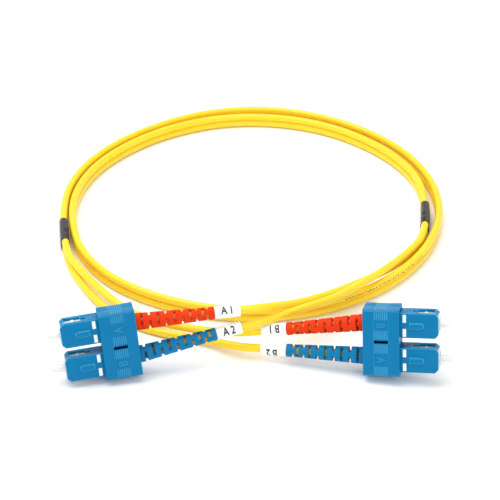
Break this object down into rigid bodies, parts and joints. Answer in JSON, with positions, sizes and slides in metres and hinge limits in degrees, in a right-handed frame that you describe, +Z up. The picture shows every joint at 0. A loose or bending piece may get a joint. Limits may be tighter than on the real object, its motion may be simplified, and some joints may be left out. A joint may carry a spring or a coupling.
{
  "type": "duplex fibre optic patch cable",
  "caption": "Loop of flat twin yellow fibre cord, split at each end into two legs that run through marker sleeves and slotted boots into a clipped pair of blue push-pull plugs.",
  "frame": {"origin": "on the surface it lies on, below the middle of the two clipped plug pairs", "axes": "+X from one plug pair to the other, +Y away from the viewer towards the loop of cord, +Z up"},
  "size_m": [0.1629, 0.219, 0.0272],
  "materials": {
    "grip_blue": "satin moulded plastic",
    "clip_blue": "satin moulded plastic",
    "frame_white": "satin moulded plastic",
    "ceramic_white": "polished zirconia",
    "flange_metal": "turned metal",
    "spring_steel": "drawn wire",
    "rear_body_metal": "turned, nickel plated",
    "crimp_metal": "crimped tube",
    "cap_clear": "soft translucent plastic",
    "marker_white": "printed tube",
    "boot_red": "soft moulded elastomer",
    "boot_blue": "soft moulded elastomer",
    "jacket_yellow": "extruded jacket, soft sheen",
    "sleeve_dark": "shrink tube"
  },
  "bodies": {
    "cord": {"twin_cord": "jacket_yellow", "leg_a1": "jacket_yellow", "marker_sleeve_a1": "marker_white", "boot_a1": "boot_red", "rear_body_a1": "rear_body_metal", "crimp_ring_a1": "crimp_metal", "spring_a1": "spring_steel", "plug_frame_a1": "frame_white", "leg_a2": "jacket_yellow", "marker_sleeve_a2": "marker_white", "boot_a2": "boot_blue", "rear_body_a2": "rear_body_metal", "crimp_ring_a2": "crimp_metal", "spring_a2": "spring_steel", "plug_frame_a2": "frame_white", "leg_b1": "jacket_yellow", "marker_sleeve_b1": "marker_white", "boot_b1": "boot_red", "rear_body_b1": "rear_body_metal", "crimp_ring_b1": "crimp_metal", "spring_b1": "spring_steel", "plug_frame_b1": "frame_white", "leg_b2": "jacket_yellow", "marker_sleeve_b2": "marker_white", "boot_b2": "boot_blue", "rear_body_b2": "rear_body_metal", "crimp_ring_b2": "crimp_metal", "spring_b2": "spring_steel", "plug_frame_b2": "frame_white", "split_sleeve_a": "sleeve_dark", "split_sleeve_b": "sleeve_dark"},
    "grips_a": {"grip_sleeve_a1": "grip_blue", "grip_sleeve_a2": "grip_blue", "clip_key_half_a": "clip_blue", "clip_back_half_a": "clip_blue"},
    "grips_b": {"grip_sleeve_b1": "grip_blue", "grip_sleeve_b2": "grip_blue", "clip_key_half_b": "clip_blue", "clip_back_half_b": "clip_blue"},
    "ferrule_a1": {"ferrule_a1": "ceramic_white", "ferrule_flange_a1": "flange_metal"},
    "cap_a1": {"dust_cap_a1": "cap_clear"},
    "ferrule_a2": {"ferrule_a2": "ceramic_white", "ferrule_flange_a2": "flange_metal"},
    "cap_a2": {"dust_cap_a2": "cap_clear"},
    "ferrule_b1": {"ferrule_b1": "ceramic_white", "ferrule_flange_b1": "flange_metal"},
    "cap_b1": {"dust_cap_b1": "cap_clear"},
    "ferrule_b2": {"ferrule_b2": "ceramic_white", "ferrule_flange_b2": "flange_metal"},
    "cap_b2": {"dust_cap_b2": "cap_clear"}
  },
  "joints": [
    {"name": "grips_a_pull", "type": "slide", "parent": "cord", "child": "grips_a", "axis": [0.9768, 0.2058, 0.0593], "range_m": [0, 0.0018]},
    {"name": "grips_b_pull", "type": "slide", "parent": "cord", "child": "grips_b", "axis": [-0.9759, 0.1968, -0.0941], "range_m": [0, 0.0018]},
    {"name": "ferrule_a1_press", "type": "slide", "parent": "cord", "child": "ferrule_a1", "axis": [0.9768, 0.2058, 0.0593], "range_m": [0, 0.001], "stiffness_N_per_m": 1000, "springref_m": -0.003, "deforming": ["spring_a1"]},
    {"name": "cap_a1_off", "type": "slide", "parent": "ferrule_a1", "child": "cap_a1", "axis": [-0.9768, -0.2058, -0.0593], "range_m": [0, 0.012]},
    {"name": "ferrule_a2_press", "type": "slide", "parent": "cord", "child": "ferrule_a2", "axis": [0.9768, 0.2058, 0.0593], "range_m": [0, 0.001], "stiffness_N_per_m": 1000, "springref_m": -0.003, "deforming": ["spring_a2"]},
    {"name": "cap_a2_off", "type": "slide", "parent": "ferrule_a2", "child": "cap_a2", "axis": [-0.9768, -0.2058, -0.0593], "range_m": [0, 0.012]},
    {"name": "ferrule_b1_press", "type": "slide", "parent": "cord", "child": "ferrule_b1", "axis": [-0.9759, 0.1968, -0.0941], "range_m": [0, 0.001], "stiffness_N_per_m": 1000, "springref_m": -0.003, "deforming": ["spring_b1"]},
    {"name": "cap_b1_off", "type": "slide", "parent": "ferrule_b1", "child": "cap_b1", "axis": [0.9759, -0.1968, 0.0941], "range_m": [0, 0.012]},
    {"name": "ferrule_b2_press", "type": "slide", "parent": "cord", "child": "ferrule_b2", "axis": [-0.9759, 0.1968, -0.0941], "range_m": [0, 0.001], "stiffness_N_per_m": 1000, "springref_m": -0.003, "deforming": ["spring_b2"]},
    {"name": "cap_b2_off", "type": "slide", "parent": "ferrule_b2", "child": "cap_b2", "axis": [0.9759, -0.1968, 0.0941], "range_m": [0, 0.012]}
  ]
}
